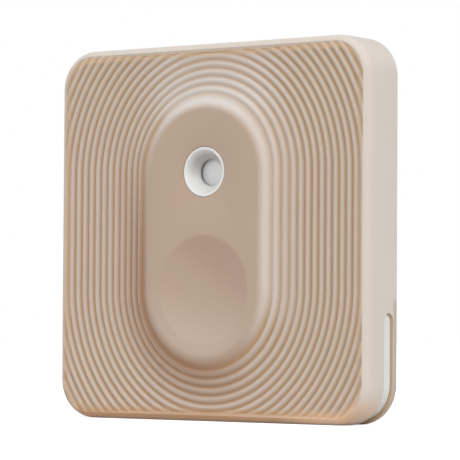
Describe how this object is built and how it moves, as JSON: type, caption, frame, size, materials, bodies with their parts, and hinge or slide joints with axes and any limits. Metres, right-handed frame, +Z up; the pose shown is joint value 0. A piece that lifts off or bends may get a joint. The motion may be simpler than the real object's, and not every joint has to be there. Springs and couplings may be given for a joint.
{
  "type": "temperature humidity sensor",
  "caption": "Small square wireless room sensor in a ridged soft casing, with a raised panel that holds an air port and a press area, run by a coin cell.",
  "frame": {"origin": "centre of the flat back face", "axes": "+X to the right seen from the front, +Y out of the back, +Z up; the front faces -Y"},
  "size_m": [0.05, 0.0082, 0.05],
  "materials": {
    "soft_skin": "matt soft-touch",
    "white_plastic": "fine satin",
    "foam": "open-cell foam",
    "board": "solder mask",
    "cell_steel": "nickel plated",
    "seal_plastic": "moulded",
    "cell_paste": "pressed powder",
    "black_plastic": "moulded",
    "contact_metal": "nickel plated",
    "chip_plastic": "moulded",
    "crystal_can": "bright",
    "ceramic_white": "fired",
    "ceramic_tan": "fired",
    "gasket_rubber": "soft",
    "filter_membrane": "fine membrane"
  },
  "bodies": {
    "housing": {"outer_casing": "soft_skin", "front_core": "white_plastic", "main_board": "board", "cell_can": "cell_steel", "cell_seal": "seal_plastic", "cell_filling": "cell_paste", "cell_cap": "cell_steel", "battery_cradle": "black_plastic", "positive_contact": "contact_metal", "negative_contact": "contact_metal", "switch_body": "black_plastic", "switch_lid_plate": "contact_metal", "sensor_chip": "chip_plastic", "sensor_gasket": "gasket_rubber", "sensor_filter": "filter_membrane", "radio_chip": "chip_plastic", "memory_chip": "chip_plastic", "crystal": "crystal_can", "chip_antenna": "ceramic_white", "capacitors": "ceramic_tan", "resistors": "chip_plastic"},
    "button": {"press_pad": "soft_skin", "button_plunger": "white_plastic", "switch_actuator": "black_plastic"},
    "cover": {"rear_cover": "white_plastic", "cell_foam_pad": "foam"}
  },
  "joints": [
    {"name": "button_press", "type": "slide", "parent": "housing", "child": "button", "axis": [0, 1, 0], "range_m": [0, 0.0002], "stiffness_N_per_m": 1500, "springref_m": -0.0005},
    {"name": "cover_removal", "type": "slide", "parent": "housing", "child": "cover", "axis": [0, 1, 0], "range_m": [0, 0.012]}
  ]
}
